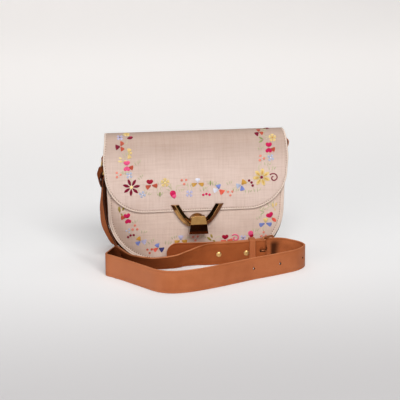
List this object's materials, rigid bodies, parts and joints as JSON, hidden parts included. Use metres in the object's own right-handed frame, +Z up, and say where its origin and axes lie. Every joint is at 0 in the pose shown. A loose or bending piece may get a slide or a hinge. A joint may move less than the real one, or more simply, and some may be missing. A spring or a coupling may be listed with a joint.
{
  "type": "handbag",
  "caption": "Saddle-shaped linen shoulder bag with a round-cornered flap, floral embroidery, a horned flip-lever metal clasp and a buckled tan leather strap on side rings.",
  "frame": {"origin": "middle of the bag's flat bottom, on the surface it stands on", "axes": "+X to the right seen from the front, front towards -Y, +Z up"},
  "size_m": [0.2239, 0.1994, 0.1451],
  "materials": {
    "linen": "plain woven greyish-beige linen",
    "tan_leather": "smooth tan leather, fine grain",
    "gold_metal": "polished pale gold plating"
  },
  "bodies": {
    "bag": {"front_panel": "linen", "back_panel": "linen", "gusset": "tan_leather", "flap": "linen", "clasp_frame": "gold_metal", "clasp_base": "gold_metal", "clasp_pin": "gold_metal", "left_tab": "tan_leather", "right_tab": "tan_leather", "left_ring": "gold_metal", "right_ring": "gold_metal", "strap_short": "tan_leather", "strap_long": "tan_leather", "buckle_frame": "gold_metal", "buckle_prong": "gold_metal", "strap_keeper": "tan_leather", "stud_1": "gold_metal", "stud_2": "gold_metal"},
    "lever": {"clasp_lever": "gold_metal"}
  },
  "joints": [
    {"name": "clasp_lever_flip", "type": "hinge", "parent": "bag", "child": "lever", "pos_m": [0, -0.0406, 0.0512], "axis": [-1, 0, 0], "range_deg": [0, 95]}
  ]
}
